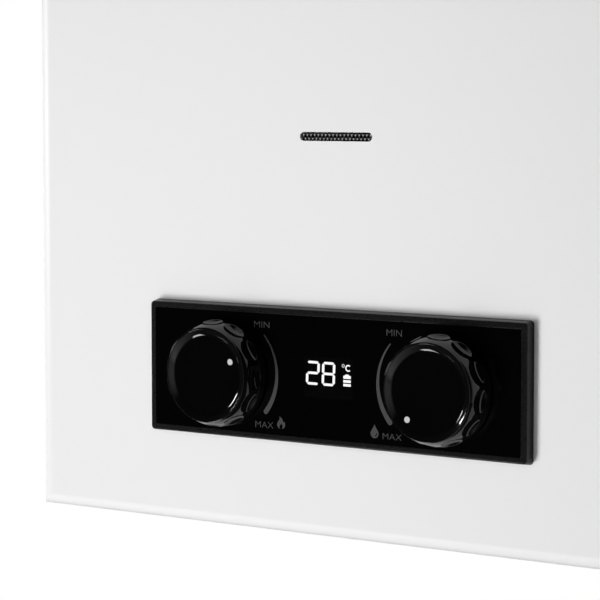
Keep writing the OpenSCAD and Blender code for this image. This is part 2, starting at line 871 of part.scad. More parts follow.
// Burner bar: a round mixing tube below a flat channel with flame ports along its top
module burner_bars() color("darkgray")
    for (i = [0 : bar_n - 1]) difference() {
        bar_front = chamber_front + plate;
        bar_back = chamber_back - plate;
        bar_top = burner_top - bar_drop;
        union() {
            rod_y(bar_front, bar_back, bar_x(i), nozzle_z, mouth_r + bar_wall);
            block([bar_x(i) - bar_w / 2, bar_front, nozzle_z], [bar_x(i) + bar_w / 2, bar_back, bar_top]);
        }
        rod_y(bar_front - over, bar_back - bar_w, bar_x(i), nozzle_z, mouth_r - bar_wall / 2);
        block([bar_x(i) - bar_w / 2 + bar_wall, bar_front + bar_wall, nozzle_z],
              [bar_x(i) + bar_w / 2 - bar_wall, bar_back - bar_wall, bar_top - bar_wall]);
        ports = floor((chamber_d - 4 * plate) / port_pitch);
        for (k = [0 : ports - 1])
            block([bar_x(i) - bar_w, bar_front + port_edge + k * port_pitch, bar_top - port_depth],
                  [bar_x(i) + bar_w, bar_front + port_edge + k * port_pitch + port_w, bar_top + over]);
    }

peep_h = 9;
peep_lap = 2;
glass_lap = 5;
glass_t = 1.5;
electrode_x = 40;
electrode_z = slot_z + 12;
insulator_r = 3;
insulator_out = 12;
insulator_in = 6;
insulator_flange_t = 3;
insulator_flange_r = 5;
pin_wire = 1.1;
tip_y = chamber_front + 20;
pin_out = 16;
pin_reach = 14;
pin_bend = 4;
spark_gap = 2;

module electrode_insulators() color("ivory")
    for (s = [-1, 1]) difference() {
        union() {
            rod_y(chamber_front - insulator_out, chamber_front + insulator_in, s * electrode_x, electrode_z,
                  insulator_r);
            rod_y(chamber_front - insulator_flange_t, chamber_front, s * electrode_x, electrode_z,
                  insulator_flange_r);
        }
        rod_y(chamber_front - insulator_out - over, chamber_front + insulator_in + over,
              s * electrode_x, electrode_z, pin_wire + run);
    }

module ignition_pin() color("silver")
    pipe([[electrode_x, chamber_front - pin_out, electrode_z], [electrode_x, tip_y, electrode_z],
          [electrode_x, tip_y, burner_top + spark_gap]], pin_wire, pin_bend);

module flame_sensor_pin() color("silver")
    rod_y(chamber_front - pin_out, tip_y + pin_reach, -electrode_x, electrode_z, pin_wire);

module chamber_window() color("lightblue", 0.5) at_front(0, slot_z, chamber_front)
    linear_extrude(glass_t)
    rounded_rect(slot_len + 2 * peep_lap + 2 * glass_lap, peep_h + 2 * glass_lap, glass_lap / 2);

// Heat exchanger

function tube_y(i) = pipe_y + i * tube_pitch;

module exchanger_shell() color("peru") difference() {
    block([-chamber_w / 2, chamber_front, burner_top], [chamber_w / 2, chamber_back, shell_top]);
    block([-chamber_w / 2 + sheet, chamber_front + sheet, burner_top - over],
          [chamber_w / 2 - sheet, chamber_back - sheet, shell_top + over]);
    for (i = [0 : tube_n - 1])
        rod_x(-chamber_w / 2 - over, chamber_w / 2 + over, tube_y(i), tube_z, pipe_r + run);
    for (s = [-1, 1])
        rod_y(chamber_front - over, chamber_front + sheet + over, s * electrode_x, electrode_z,
              insulator_r + run);
    at_front(0, slot_z, chamber_front + sheet + over) linear_extrude(sheet + 2 * over)
        rounded_rect(slot_len + 2 * peep_lap, peep_h, peep_h / 3);
}

module exchanger_fins() color("peru") {
    pitch = (chamber_w - 2 * sheet - 4 * fin_gap) / (fin_n - 1);
    for (i = [0 : fin_n - 1]) difference() {
        x = (i - (fin_n - 1) / 2) * pitch - fin_t / 2;
        across(x) linear_extrude(fin_t) difference() {
            translate([chamber_front + sheet + fin_gap, tube_z - fin_h / 2])
                square([chamber_d - 2 * (sheet + fin_gap), fin_h]);
            for (k = [0 : tube_n - 1]) translate([tube_y(k), tube_z]) circle(r = pipe_r + run);
        }
    }
}

function serpent(i) =
    let (side = i % 2 == 0 ? 1 : -1)
    [[side * tube_end, tube_y(i), tube_z], [-side * tube_end, tube_y(i), tube_z]];

turn_x = tube_end + tube_pitch / 2;

// Points of the serpentine tube, from the front right end to the back left end
serpent_route = [
    for (i = [0 : tube_n - 1], end = [0, 1])
        let (p = serpent(i)[end],
             is_end = (i == 0 && end == 0) || (i == tube_n - 1 && end == 1))
        [is_end ? p.x : sign(p.x) * turn_x, p.y, p.z]];

module exchanger_tubes() color("peru") hollow_pipe(serpent_route, tube_pitch / 2);

stat_r = 8;
stat_base_t = 5;
stat_t = 8;
tab_l = 6;
tab_w = 6;
tab_t = 0.8;
tab_x = 3;

// Disc switch on the copper shell, with two flat tabs
module overheat_thermostat() color("dimgray") {
    stat_x = chamber_w / 3;
    stat_z = tube_z - fin_h;
    rod_y(chamber_front - stat_base_t, chamber_front, stat_x, stat_z, stat_r);
    rod_y(chamber_front - stat_t, chamber_front - stat_base_t, stat_x, stat_z, stat_r - tab_x);
    for (s = [-1, 1])
        block([stat_x + s * tab_x - tab_t / 2, chamber_front - stat_t - tab_l, stat_z - tab_w / 2],
              [stat_x + s * tab_x + tab_t / 2, chamber_front - stat_t, stat_z + tab_w / 2]);
}

// Water side

module cold_inlet() color("goldenrod") connection(knob_x, boss_bottom, water_r, water_bore, water_hex);

filter_in = 4;
filter_l = 18;
filter_t = 1;

// Strainer cup in the cold connection, closed at its upper end
module inlet_filter() color("silver")
    translate([knob_x, pipe_y, floor_z - hex_t - thread_l + filter_in]) difference() {
        cylinder(r = water_bore - run, h = filter_l);
        translate([0, 0, -over]) cylinder(r = water_bore - filter_t, h = filter_l);
    }

module water_valve_body() color("goldenrod") difference() {
    union() {
        valve_core(knob_x);
        rod_z(boss_bottom, knob_z, knob_x, pipe_y, water_r + collar_w);
        rod_x(knob_x, outlet_x, pipe_y, knob_z, pipe_r + outlet_wall);
        rod_z(knob_z - pipe_r - relief_boss, knob_z, relief_x, pipe_y, relief_boss_r);
        rod_x(disc_in, knob_x, pipe_y, knob_z, disc_arm_r);
        rod_x(disc_in, disc_in + disc_t, pipe_y, knob_z, disc_r);
    }
    spindle_bore(knob_x);
    rod_z(boss_bottom - over, knob_z - valve_r, knob_x, pipe_y, water_bore);
    disc_holes(disc_in - over, disc_in + disc_t - screw_end);
}

// Ring of screw holes or screws round the diaphragm
module disc_holes(x0, x1, r = side_screw_r + run) {
    for (i = [0 : 5])
        rod_x(x0, x1, pipe_y + screw_circle * cos(60 * i + 30), knob_z + screw_circle * sin(60 * i + 30), r);
}

module diaphragm() color("#303030") difference() {
    rod_x(disc_in - rubber_t, disc_in, pipe_y, knob_z, disc_r - rubber_in);
    disc_holes(disc_in - rubber_t - over, disc_in + over);
}

module diaphragm_cover() color("lightgray") difference() {
    union() {
        rod_x(disc_in - rubber_t - disc_rim_t, disc_in - rubber_t, pipe_y, knob_z, disc_r);
        rod_x(disc_cover_x, disc_in - rubber_t, pipe_y, knob_z, disc_hub_r);
    }
    rod_x(disc_cover_x - over, disc_in, pipe_y, knob_z, link_r + run);
    disc_holes(disc_cover_x - over, disc_in + over);
}

module diaphragm_screws() color("silver") {
    seat = disc_in - rubber_t - disc_rim_t;
    disc_holes(seat, disc_in + disc_t - screw_end - fit, side_screw_r);
    disc_holes(seat - disc_head_t, seat, disc_head_r);
}

relief_stem = 5;
relief_hex = 15;
relief_hex_t = 8;
relief_drop = 15;
drain_h = 9;
drain_r = 7.5;
drain_groove = 0.9;

// Relief valve with a knurled drain plug at its lower end
module relief_valve() color("goldenrod") translate([relief_x, pipe_y, 0]) {
    top = knob_z - pipe_r - relief_boss;
    bottom = floor_z - relief_drop;
    rod_z(bottom, top, 0, 0, relief_stem);
    translate([0, 0, top - relief_hex_t]) linear_extrude(relief_hex_t) hexagon(relief_hex);
    translate([0, 0, bottom]) linear_extrude(drain_h) difference() {
        circle(r = drain_r);
        for (i = [0 : 11]) rotate(30 * i) translate([drain_r + drain_groove / 3, 0]) circle(r = drain_groove);
    }
}

rod_room = 2;
rod_collar_x = -6;
rod_collar_r = 5;
rod_collar_t = 3;

// Rod from the diaphragm to the gas valve, with the collar that works the switch
module push_rod() color("silver") {
    rod_x(link_gas - link_depth + rod_travel + rod_room, disc_in - rubber_t - run, pipe_y, knob_z, link_r);
    rod_x(rod_collar_x, rod_collar_x + rod_collar_t, pipe_y, knob_z, rod_collar_r);
}

bracket_y = pipe_y + 14;
bracket_t = 1.5;
bracket_low = knob_z - 11;
bracket_high = knob_z + 9;
switch_gap = 6;
switch_left = 8;
switch_w = 20;
switch_h = 10;
switch_lift = 4;
lever_t = 0.5;
lever_h = 4;
lever_gap = 0.6;
lever_in = 2;

module switch_bracket() color("silver")
    block([link_gas, bracket_y, bracket_low], [disc_cover_x, bracket_y + bracket_t, bracket_high]);

// Switch body with its lever just behind the rod's collar
module microswitch() color("#202020") {
    x = rod_collar_x - switch_left;
    z = knob_z + switch_lift;
    lever_x = rod_collar_x + rod_collar_t + lever_gap;
    block([x, pipe_y + switch_gap, z], [x + switch_w, bracket_y, z + switch_h]);
    block([lever_x, pipe_y + lever_in, z], [lever_x + lever_t, pipe_y + switch_gap, z + lever_h]);
}

module cold_pipe() color("peru")
    hollow_pipe([[outlet_x, pipe_y, knob_z], [pipe_x, pipe_y, knob_z], [pipe_x, pipe_y, tube_z],
                 [tube_end, pipe_y, tube_z]], pipe_bend);

hot_top = floor_top + 3 * collar_l;

module hot_pipe() color("peru")
    hollow_pipe([[-tube_end, tube_back, tube_z], [-pipe_x, tube_back, tube_z], [-pipe_x, pipe_y, tube_z],
                 [-pipe_x, pipe_y, hot_top]], pipe_bend);

nut_l = 10;
nut_af = 15;
nut_out = 1;

module nut() {
    linear_extrude(nut_l) difference() {
        rotate(30) hexagon(nut_af);
        circle(r = pipe_r + run);
    }
}

module pipe_nuts() color("goldenrod") {
    across(outlet_x, pipe_y, knob_z) nut();
    across(tube_end - nut_l / 2 + nut_out, pipe_y, tube_z) nut();
    across(-tube_end - nut_l / 2 - nut_out, tube_back, tube_z) nut();
    translate([-pipe_x, pipe_y, hot_top]) nut();
}

module hot_outlet() color("goldenrod") connection(-pipe_x, hot_top, water_r, water_bore, water_hex);

sensor_l = 14;
sensor_t = 2.5;
sensor_plug = [11, 6, 8];

// Clip round the hot pipe, with the sensor's plug on its side
module outlet_sensor() color("dimgray") translate([-pipe_x, pipe_y, knob_z]) {
    linear_extrude(sensor_l) difference() {
        circle(r = pipe_r + sensor_t);
        circle(r = pipe_r + run);
    }
    translate([pipe_r + 1, -sensor_plug.y / 2, (sensor_l - sensor_plug.z) / 2]) cube(sensor_plug);
}

// Battery and igniter

igniter_x = 24;
igniter_w = 64;
igniter_d = 25;
igniter_h = 56;
igniter_lift = 2;
igniter_ear = 6;
igniter_ear_h = 12;
igniter_ear_t = 3;
socket_n = 5;
socket_w = 6;
socket_h = 8;
socket_pitch = 10;
socket_top = 6;

module igniter_box() color("#252525") {
    low = [igniter_x - igniter_w / 2, -plate - igniter_d, floor_top + igniter_lift];
    high = [igniter_x + igniter_w / 2, -plate, low.z + igniter_h];
    ear_z = (low.z + high.z - igniter_ear_h) / 2;
    difference() {
        block(low, high);
        for (i = [0 : socket_n - 1])
            translate([low.x + socket_h + socket_pitch * i, low.y - over, high.z - socket_top - socket_h])
                cube([socket_w, socket_h + over, socket_h]);
    }
    for (x = [low.x - igniter_ear, high.x])
        block([x, -plate - igniter_ear_t, ear_z], [x + igniter_ear, -plate, ear_z + igniter_ear_h]);
}

module battery_box() color("#303030") difference() {
    union() {
        translate([box_x, box_y, floor_z - box_flange]) {
            linear_extrude(bay_top + box_wall - floor_z + box_flange) square([box_w, box_d], center = true);
            linear_extrude(box_flange) square([box_w + 2 * box_lap, box_d + 2 * box_lap], center = true);
        }
        for (s = [-1, 1]) {
            x = box_x + s * (box_w - lid_ear) / 2 - lid_ear / 2;
            block([x, hinge_y - ear_round, hinge_z],
                  [x + lid_ear, hinge_y + ear_round, floor_z - box_flange]);
            rod_x(x, x + lid_ear, hinge_y, hinge_z, ear_round);
        }
    }
    block([box_x - bay_w / 2, box_y - bay_d / 2, floor_z - box_flange - over],
          [box_x + bay_w / 2, box_y + bay_d / 2, bay_top]);
    rod_x(box_x - box_w, box_x + box_w, hinge_y, hinge_z, lid_pin + run);
}

function cell_x(s) = box_x + s * (cell_r + cell_gap / 2);

module battery_cells() color("darkslategray")
    for (s = [-1, 1]) {
        rod_z(cell_bottom, cell_bottom + cell_l, cell_x(s), box_y, cell_r);
        rod_z(cell_bottom + cell_l, cell_bottom + cell_l + nub_h, cell_x(s), box_y, nub_r);
    }

module battery_contacts() color("silver")
    for (s = [-1, 1]) {
        rod_z(bay_top - contact_t - contact_h, bay_top, cell_x(s), box_y, nub_r);
        translate([cell_x(s), box_y, bay_top - contact_t]) linear_extrude(contact_t)
            square(contact_size, center = true);
    }

rib_n = 7;
rib_pitch = 5;
rib_w = 2;
rib_l = 10;
rib_h = 0.8;
rib_edge = 3;

// Lid with its own hinge pins, carried in the battery box's ears
module battery_lid() color("#303030") {
    block([box_x - lid_w / 2, lid_front, lid_top - lid_t], [box_x + lid_w / 2, hinge_y, lid_top]);
    rod_x(box_x - lid_w / 2, box_x + lid_w / 2, hinge_y, hinge_z, lid_t / 2);
    rod_x(box_x - lid_w / 2 - lid_ear, box_x + lid_w / 2 + lid_ear, hinge_y, hinge_z, lid_pin);
    for (i = [0 : rib_n - 1])
        translate([box_x + (i - (rib_n - 1) / 2) * rib_pitch - rib_w / 2, lid_front + rib_edge,
                   lid_top - lid_t - rib_h])
            cube([rib_w, rib_l, rib_h]);
}

pad_r = 6;
strap_w = 8;
strap_t = 0.8;

// Strap that joins the lower ends of the two cells
module lid_contact() color("silver") {
    for (s = [-1, 1])
        rod_z(lid_top, lid_top + pad_h, cell_x(s), box_y, pad_r);
    block([cell_x(-1), box_y - strap_w / 2, lid_top], [cell_x(1), box_y + strap_w / 2, lid_top + strap_t]);
}

hung() front_cover();
hung() back_plate();
hung() bottom_plate();
hung() cover_screws();
hung() rain_cap();
hung() exhaust_grille();
hung() flue_hood();
hung() handle_brackets();
hung() handle_pins();
hung() carry_handle();
hung() handle_grip();
hung() flame_mesh();
hung() panel_bezel();
hung() fascia();
hung() display_module();
hung() gas_knob();
hung() gas_knob_cap();
hung() gas_spindle();
hung() water_knob();
hung() water_knob_cap();
hung() water_spindle();
hung() gas_inlet();
hung() gas_valve_body();
hung() gas_solenoid();
hung() gas_manifold();
hung() gas_nozzles();
hung() burner_frame();
hung() burner_bars();
hung() electrode_insulators();
hung() ignition_pin();
hung() flame_sensor_pin();
hung() chamber_window();
hung() exchanger_shell();
hung() exchanger_fins();
hung() exchanger_tubes();
hung() overheat_thermostat();
hung() cold_inlet();
hung() inlet_filter();
hung() water_valve_body();
hung() diaphragm();
hung() diaphragm_cover();
hung() diaphragm_screws();
hung() relief_valve();
hung() push_rod();
hung() switch_bracket();
hung() microswitch();
hung() cold_pipe();
hung() hot_pipe();
hung() pipe_nuts();
hung() hot_outlet();
hung() outlet_sensor();
hung() igniter_box();
hung() battery_box();
hung() battery_cells();
hung() battery_contacts();
hung() battery_lid();
hung() lid_contact();
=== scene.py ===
import json
import math

import bpy
import numpy as np
from mathutils import Matrix, Vector


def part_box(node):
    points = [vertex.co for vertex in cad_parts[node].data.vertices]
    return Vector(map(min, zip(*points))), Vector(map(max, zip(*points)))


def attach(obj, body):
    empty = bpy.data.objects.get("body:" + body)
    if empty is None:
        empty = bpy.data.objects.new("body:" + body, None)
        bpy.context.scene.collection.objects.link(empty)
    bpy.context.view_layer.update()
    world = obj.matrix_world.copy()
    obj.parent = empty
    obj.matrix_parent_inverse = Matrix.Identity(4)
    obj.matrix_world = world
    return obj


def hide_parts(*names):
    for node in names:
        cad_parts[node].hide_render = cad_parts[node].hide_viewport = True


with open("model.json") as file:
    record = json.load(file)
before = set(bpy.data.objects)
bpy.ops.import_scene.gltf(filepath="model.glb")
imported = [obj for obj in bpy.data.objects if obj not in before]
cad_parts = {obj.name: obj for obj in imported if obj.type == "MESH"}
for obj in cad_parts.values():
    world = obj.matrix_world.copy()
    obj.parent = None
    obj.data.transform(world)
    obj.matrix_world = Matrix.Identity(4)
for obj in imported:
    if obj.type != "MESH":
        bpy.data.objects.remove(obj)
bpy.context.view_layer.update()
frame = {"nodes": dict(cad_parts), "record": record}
print("frame loaded:", len(frame["nodes"]), "nodes")

mm = 0.001

fasciaLow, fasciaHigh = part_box("fascia")
fasciaFront = fasciaLow.y
panelX = (fasciaLow.x + fasciaHigh.x) / 2
panelZ = (fasciaLow.z + fasciaHigh.z) / 2
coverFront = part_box("front_cover")[0].y


# Shader nodes


def newMaterial(name):
    made = bpy.data.materials.new(name)
    made.use_nodes = True
    tree = made.node_tree
    return made, tree, tree.nodes["Principled BSDF"]


def feed(tree, source, socket):
    # a number is set on the socket, and an output is linked to it
    if isinstance(source, (int, float)):
        socket.default_value = source
    else:
        tree.links.new(source, socket)


def calculate(tree, kind, *sources):
    node = tree.nodes.new("ShaderNodeMath")
    node.operation = kind
    for source, socket in zip(sources, node.inputs):
        feed(tree, source, socket)
    return node.outputs["Value"]


def measure(tree, kind, source, other=None):
    node = tree.nodes.new("ShaderNodeVectorMath")
    node.operation = kind
    tree.links.new(source, node.inputs[0])
    if other:
        node.inputs[1].default_value = other
    return node.outputs["Value"]


def mapRange(tree, source, fromMin=0.0, fromMax=1.0, toMin=0.0, toMax=1.0):
    node = tree.nodes.new("ShaderNodeMapRange")
    feed(tree, fromMin, node.inputs["From Min"])
    feed(tree, fromMax, node.inputs["From Max"])
    feed(tree, toMin, node.inputs["To Min"])
    feed(tree, toMax, node.inputs["To Max"])
    tree.links.new(source, node.inputs["Value"])
    return node.outputs["Result"]


def mix(tree, factor, first, second):
    node = tree.nodes.new("ShaderNodeMix")
    feed(tree, factor, node.inputs["Factor"])
    feed(tree, first, node.inputs["A"])
    feed(tree, second, node.inputs["B"])
    return node.outputs["Result"]


def mixShaders(tree, factor, first, second):
    node = tree.nodes.new("ShaderNodeMixShader")
    tree.links.new(factor, node.inputs["Fac"])
    tree.links.new(first, node.inputs[1])
    tree.links.new(second, node.inputs[2])
    return node.outputs["Shader"]


def noise(tree, scale, detail):
    coord = tree.nodes.new("ShaderNodeTexCoord")
    node = tree.nodes.new("ShaderNodeTexNoise")
    node.inputs["Scale"].default_value = scale
    node.inputs["Detail"].default_value = detail
    tree.links.new(coord.outputs["Object"], node.inputs["Vector"])
    return node.outputs["Fac"]


def ramp(tree, source, dark, pale, low, high):
    node = tree.nodes.new("ShaderNodeValToRGB")
    ends = node.color_ramp.elements
    ends[0].position = low
    ends[1].position = high
    ends[0].color = (*dark, 1)
    ends[1].color = (*pale, 1)
    tree.links.new(source, node.inputs["Fac"])
    return node.outputs["Color"]


# Materials

# part of the noise that is used, and how far roughness goes to each side
cloudLook = {"low": 0.3, "high": 0.7, "detail": 4.0, "roughVary": 0.15, "bumpDepth": 0.0002}


def surface(name, colour, rough, grain, vary, metallic=0.0, specular=0.5, bump=0.0):
    made, tree, shader = newMaterial(name)
    low, high = cloudLook["low"], cloudLook["high"]
    cloud = noise(tree, grain, cloudLook["detail"])
    dark = tuple(c * (1 - vary) for c in colour)
    pale = tuple(min(1.0, c * (1 + vary)) for c in colour)
    tree.links.new(ramp(tree, cloud, dark, pale, low, high), shader.inputs["Base Color"])
    smoothest = rough * (1 - cloudLook["roughVary"])
    roughest = rough * (1 + cloudLook["roughVary"])
    varied = mapRange(tree, cloud, low, high, smoothest, roughest)
    tree.links.new(varied, shader.inputs["Roughness"])
    shader.inputs["Metallic"].default_value = metallic
    shader.inputs["Specular IOR Level"].default_value = specular
    if bump:
        node = tree.nodes.new("ShaderNodeBump")
        node.inputs["Strength"].default_value = bump
        node.inputs["Distance"].default_value = cloudLook["bumpDepth"]
        tree.links.new(cloud, node.inputs["Height"])
        tree.links.new(node.outputs["Normal"], shader.inputs["Normal"])
    return made


# a finish for each material slot of the record
finishes = {
    "white_enamel": {
        "name": "whiteEnamel", "colour": (0.87, 0.87, 0.868), "rough": 0.42,
        "specular": 0.25, "grain": 900.0, "vary": 0.004, "bump": 0.02,
    },
    "zinc_sheet": {
        "name": "zincSheet", "colour": (0.55, 0.56, 0.57), "rough": 0.38,
        "metallic": 1.0, "grain": 60.0, "vary": 0.1,
    },
    "steel": {
        "name": "platedSteel", "colour": (0.62, 0.62, 0.63), "rough": 0.25,
        "metallic": 1.0, "grain": 300.0, "vary": 0.05,
    },
    "dark_mesh": {
        "name": "darkMesh", "colour": (0.05, 0.05, 0.05), "rough": 0.4,
        "specular": 0.6, "grain": 800.0, "vary": 0.2,
    },
    "grip_rubber": {
        "name": "gripRubber", "colour": (0.022, 0.022, 0.023), "rough": 0.62,
        "specular": 0.3, "grain": 1500.0, "vary": 0.2, "bump": 0.15,
    },
    "panel_plastic": {
        "name": "panelPlastic", "colour": (0.004, 0.004, 0.004), "rough": 0.3,
        "specular": 0.35, "grain": 1600.0, "vary": 0.12, "bump": 0.03,
    },
    "fascia_gloss": {
        "name": "fasciaGloss", "colour": (0.001, 0.001, 0.001), "rough": 0.08,
        "specular": 0.25, "grain": 40.0, "vary": 0.1,
    },
    "display_dark": {
        "name": "displayBoard", "colour": (0.01, 0.04, 0.02), "rough": 0.4,
        "grain": 200.0, "vary": 0.2,
    },
    "knob_plastic": {
        "name": "knobPlastic", "colour": (0.0025, 0.0025, 0.0026), "rough": 0.07,
        "grain": 60.0, "vary": 0.1,
    },
    "knob_gloss": {
        "name": "knobGloss", "colour": (0.0014, 0.0014, 0.0014), "rough": 0.05,
        "specular": 0.4, "grain": 60.0, "vary": 0.1,
    },
    "brass": {
        "name": "brass", "colour": (0.70, 0.50, 0.20), "rough": 0.24,
        "metallic": 1.0, "grain": 250.0, "vary": 0.06,
    },
    "die_cast": {
        "name": "dieCast", "colour": (0.60, 0.60, 0.61), "rough": 0.45,
        "metallic": 1.0, "grain": 900.0, "vary": 0.08, "bump": 0.1,
    },
    "coil_red": {
        "name": "coilRed", "colour": (0.36, 0.03, 0.025), "rough": 0.4,
        "grain": 300.0, "vary": 0.08,
    },
    "ceramic": {
        "name": "ceramic", "colour": (0.84, 0.81, 0.74), "rough": 0.2,
        "grain": 200.0, "vary": 0.02,
    },
    "copper": {
        "name": "copper", "colour": (0.70, 0.33, 0.18), "rough": 0.3,
        "metallic": 1.0, "grain": 90.0, "vary": 0.08,
    },
    "diaphragm_rubber": {
        "name": "diaphragmRubber", "colour": (0.02, 0.02, 0.02), "rough": 0.7,
        "grain": 900.0, "vary": 0.2,
    },
    "cell_wrap": {
        "name": "cellWrap", "colour": (0.05, 0.09, 0.13), "rough": 0.35,
        "grain": 100.0, "vary": 0.1,
    },
}

# print and tint that aren't slots of the record
inks = {
    "print": {
        "name": "printInk", "colour": (0.062, 0.062, 0.062), "rough": 0.5,
        "specular": 0.1, "grain": 900.0, "vary": 0.08,
    },
    "dot": {
        "name": "dotInk", "colour": (0.6, 0.6, 0.6), "rough": 0.4,
        "specular": 0.2, "grain": 900.0, "vary": 0.03,
    },
    "window": {
        "name": "windowTint", "colour": (0.0016, 0.0016, 0.0016), "rough": 0.12,
        "specular": 0.25, "grain": 100.0, "vary": 0.1,
    },
}

glassLook = {"bend": 1.45, "grain": 80.0, "detail": 3.0, "smoothest": 0.02, "roughest": 0.06}


def windowGlass():
    g = glassLook
    made, tree, shader = newMaterial("windowGlass")
    shader.inputs["Transmission Weight"].default_value = 1.0
    shader.inputs["IOR"].default_value = g["bend"]
    cloud = noise(tree, g["grain"], g["detail"])
    varied = mapRange(
        tree, cloud, cloudLook["low"], cloudLook["high"], g["smoothest"], g["roughest"])
    tree.links.new(varied, shader.inputs["Roughness"])
    return made


looks = {slot: surface(**finish) for slot, finish in finishes.items()}
looks["window_glass"] = windowGlass()

printInk = surface(**inks["print"])
dotInk = surface(**inks["dot"])
windowTint = surface(**inks["window"])

ledLook = {"bright": 0.97, "dim": 0.45, "unlit": 0.02, "grain": 600.0, "detail": 3.0, "vary": 0.02}


def glowing(name, level):
    made, tree, shader = newMaterial(name)
    cloud = noise(tree, ledLook["grain"], ledLook["detail"])
    pale = min(1.0, level * (1 + ledLook["vary"]))
    colour = ramp(tree, cloud, [level] * 3, [pale] * 3, cloudLook["low"], cloudLook["high"])
    tree.links.new(colour, shader.inputs["Emission Color"])
    shader.inputs["Emission Strength"].default_value = 1.0
    shader.inputs["Base Color"].default_value = (*[ledLook["unlit"]] * 3, 1)
    return made


ledLight = glowing("ledLight", ledLook["bright"])
ledDim = glowing("ledDim", ledLook["dim"])

# pale spots between the holes of the mesh in the slot are painted highlights, standing for light
# catching the dark mesh, in millimetres
meshGlintLook = {
    "pitch": 1.7,
    "rows": 1.5,
    "slotZ": -205.0,
    "dark": 0.015,
    "pale": 0.42,
    "glintFrom": 0.2,
    "rough": 0.45,
    "specular": 0.2,
}


def meshPaintedGlints():
    m = meshGlintLook
    made, tree, shader = newMaterial("meshPaintedGlints")
    coord = tree.nodes.new("ShaderNodeTexCoord")
    split = tree.nodes.new("ShaderNodeSeparateXYZ")
    tree.links.new(coord.outputs["Object"], split.inputs["Vector"])
    across = 2 * math.pi / (m["pitch"] * mm)
    upward = math.pi / (m["rows"] * mm)
    atX = calculate(tree, "MULTIPLY_ADD", split.outputs["X"], across, 0.0)
    atZ = calculate(tree, "MULTIPLY_ADD", split.outputs["Z"], upward, -upward * m["slotZ"] * mm)
    alongX = calculate(tree, "COSINE", atX)
    alongZ = calculate(tree, "SINE", atZ)
    # painted highlights: the colour is pale in spots between the rows of holes, where light would
    # catch the mesh, and dark elsewhere
    paintedGlints = calculate(tree, "MULTIPLY", alongX, alongZ)
    colour = ramp(tree, paintedGlints, [m["dark"]] * 3, [m["pale"]] * 3, m["glintFrom"], 1.0)
    tree.links.new(colour, shader.inputs["Base Color"])
    shader.inputs["Roughness"].default_value = m["rough"]
    shader.inputs["Specular IOR Level"].default_value = m["specular"]
    return made


slotOf = {row["node"]: row["material_slot"] for row in frame["record"]["subparts"]}
for name, node in frame["nodes"].items():
    node.data.materials.clear()
    node.data.materials.append(meshPaintedGlints() if name == "flame_mesh" else looks[slotOf[name]])
print("materials made:", len(bpy.data.materials))


# Pieces


def piece(name, verts, faces, material, body, smooth=False):
    mesh = bpy.data.meshes.new(name)
    mesh.from_pydata([tuple(v) for v in verts], [], [tuple(f) for f in faces])
    mesh.materials.append(material)
    mesh.validate()
    if smooth:
        mesh.polygons.foreach_set("use_smooth", [True] * len(mesh.polygons))
    made = bpy.data.objects.new(name, mesh)
    bpy.context.scene.collection.objects.link(made)
    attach(made, body)
    return made


def onPanel(x, z, lift):
    # millimetres from the panel's middle, and above the fascia
    return (panelX + x * mm, fasciaFront - lift * mm, panelZ + z * mm)


def flatPiece(name, outlines, material, lift):
    verts = []
    faces = []
    for outline in outlines:
        start = len(verts)
        verts += [onPanel(x, z, lift) for x, z in outline]
        faces.append(range(start, start + len(outline)))
    piece(name, verts, faces, material, "housing")


def ringFaces(rings, count):
    faces = []
    for i in range(rings - 1):
        here, above = i * count, (i + 1) * count
        for j in range(count):
            k = (j + 1) % count
            faces.append((here + j, here + k, above + k, above + j))
    return faces


def along(start, end, steps):
    return [start + (end - start) * i / steps for i in range(steps + 1)]


# Bezel

bezelLook = {
    # inset from the footprint, height above the cover, corner radius
    "profile": [
        (0.0, 0.0, 1.6),
        (0.08, 0.5, 1.6),
        (0.54, 3.7, 1.5),
        (0.61, 3.96, 1.45),
        (0.76, 4.2, 1.3),
        (0.98, 4.36, 1.1),
        (1.2, 4.4, 1.0),
        (1.5, 4.4, 0.9),
        (2.7, 4.4, 0.6),
        (2.84, 4.38, 0.55),
        (2.95, 4.31, 0.5),
        (3.0, 4.2, 0.45),
        (3.0, 2.1, 0.45),
    ],
    "cornerSteps": 10,
}


def roundedOutline(halfW, halfH, r, steps):
    points = []
    for cx, cz, start in ((1, 1, 0), (-1, 1, 90), (-1, -1, 180), (1, -1, 270)):
        for degrees in along(start, start + 90, steps):
            a = math.radians(degrees)
            x = cx * (halfW - r) + r * math.cos(a)
            z = cz * (halfH - r) + r * math.sin(a)
            points.append((x, z))
    return points


def buildBezel():
    low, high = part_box("panel_bezel")
    halfW = (high.x - low.x) / 2 / mm
    halfH = (high.z - low.z) / 2 / mm
    steps = bezelLook["cornerSteps"]
    verts = []
    for inset, height, r in bezelLook["profile"]:
        for x, z in roundedOutline(halfW - inset, halfH - inset, r, steps):
            verts.append((panelX + x * mm, coverFront - height * mm, panelZ + z * mm))
    faces = ringFaces(len(bezelLook["profile"]), 4 * (steps + 1))
    made = piece("bezelFrame", verts, faces, looks["panel_plastic"], "housing")
    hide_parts("panel_bezel")


# Knobs

